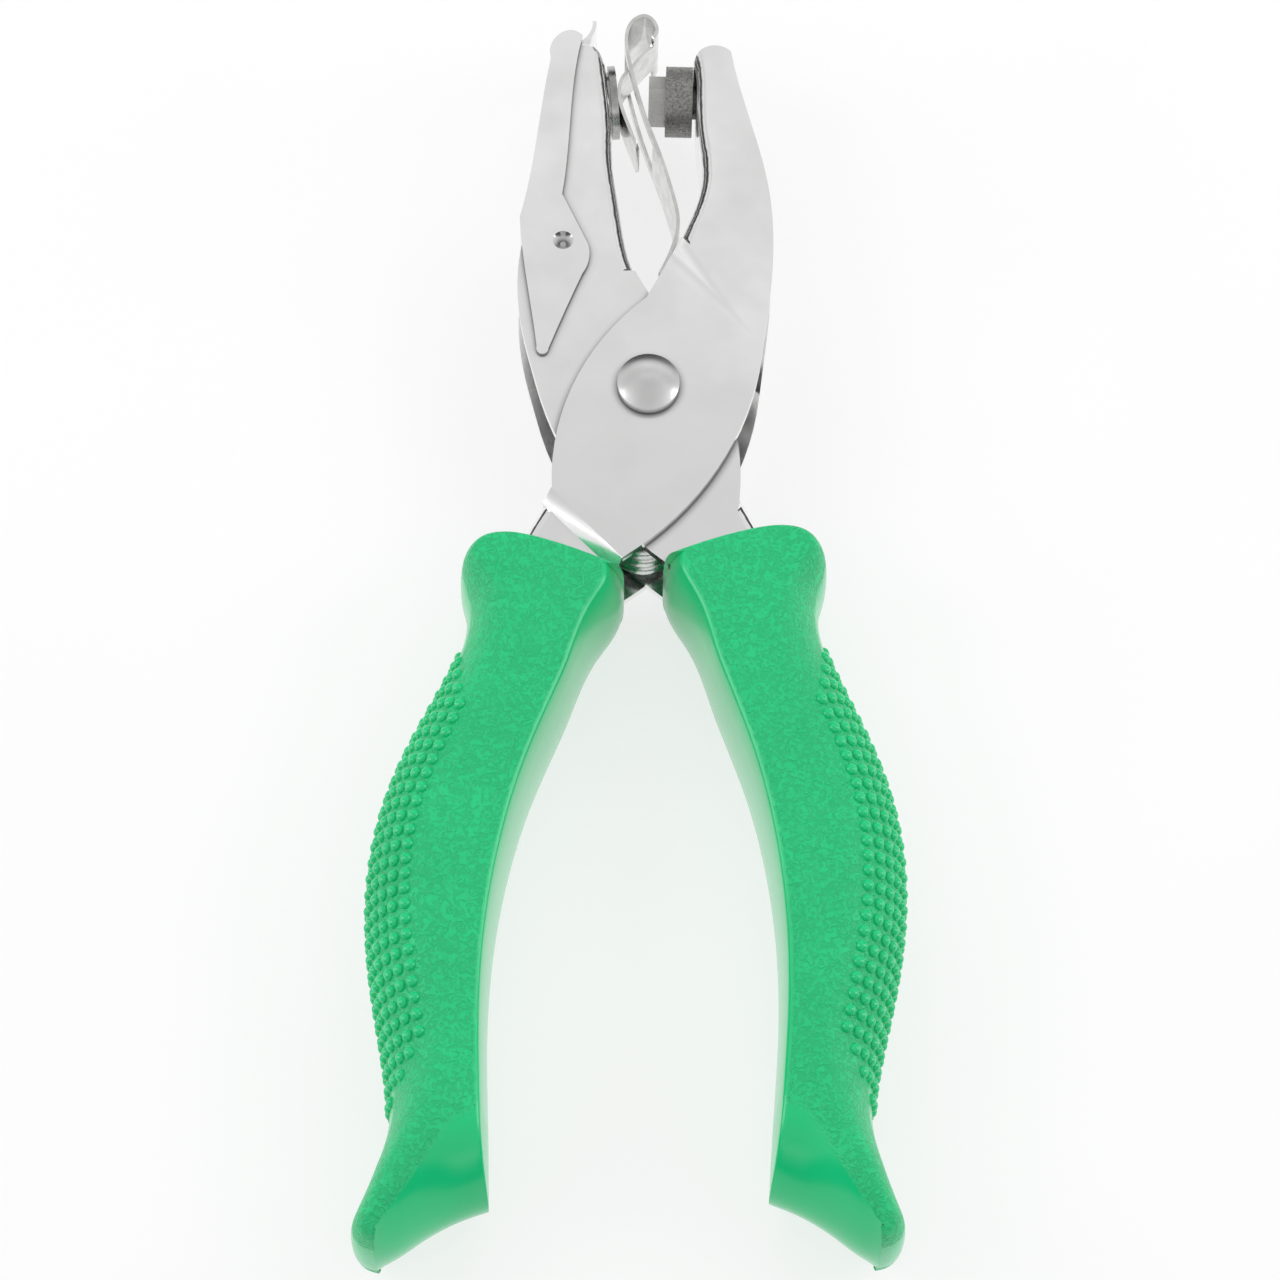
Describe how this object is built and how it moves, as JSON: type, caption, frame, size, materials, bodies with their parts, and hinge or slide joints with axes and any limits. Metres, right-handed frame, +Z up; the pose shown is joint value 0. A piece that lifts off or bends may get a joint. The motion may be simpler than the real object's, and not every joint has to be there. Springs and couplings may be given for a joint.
{
  "type": "single hole punch pliers",
  "caption": "Hand-held hole punch pliers with a fixed punch, a die jaw with a hinged chip cover, a stripper spring and moulded nubbed grips.",
  "frame": {"origin": "bottom centre of the whole tool's box, on the surface the grips lie on, with the tool lying flat", "axes": "+Y along the tool towards the jaws, +X towards the die lever's grip, +Z up through the tool's thickness, along the pivot rivet"},
  "size_m": [0.0654, 0.1688, 0.02],
  "materials": {
    "plated_sheet": "bright nickel plate on pressed steel sheet",
    "plated_cover": "bright nickel plate on thin steel sheet",
    "plated_rivet": "bright nickel plate, turned",
    "sintered_steel": "matt sintered steel, ground cutting faces",
    "spring_wire": "drawn spring wire",
    "spring_strip": "rolled spring strip",
    "grip_plastic": "moulded green plastic, grained faces and soft nubs"
  },
  "bodies": {
    "die_side": {"die_lever": "plated_sheet", "die": "sintered_steel", "pivot_rivet": "plated_rivet", "pivot_sleeve": "plated_rivet", "return_spring": "spring_wire", "die_lever_grip": "grip_plastic"},
    "punch_side": {"punch_lever": "plated_sheet", "punch": "sintered_steel", "stripper_spring": "spring_strip", "stripper_rivet": "plated_rivet", "punch_lever_grip": "grip_plastic"},
    "chip_cover_body": {"chip_cover": "plated_cover"}
  },
  "joints": [
    {"name": "pivot", "type": "hinge", "parent": "die_side", "child": "punch_side", "pos_m": [0, 0.0289, 0.01], "axis": [0, 0, 1], "range_deg": [0, 6.4], "stiffness_Nm_per_rad": 2, "springref_deg": -8.59, "deforming": ["return_spring", "stripper_spring"]},
    {"name": "cover_hinge", "type": "hinge", "parent": "die_side", "child": "chip_cover_body", "pos_m": [-0.0113, 0.0498, 0.01], "axis": [0, 0, 1], "range_deg": [0, 18]}
  ]
}
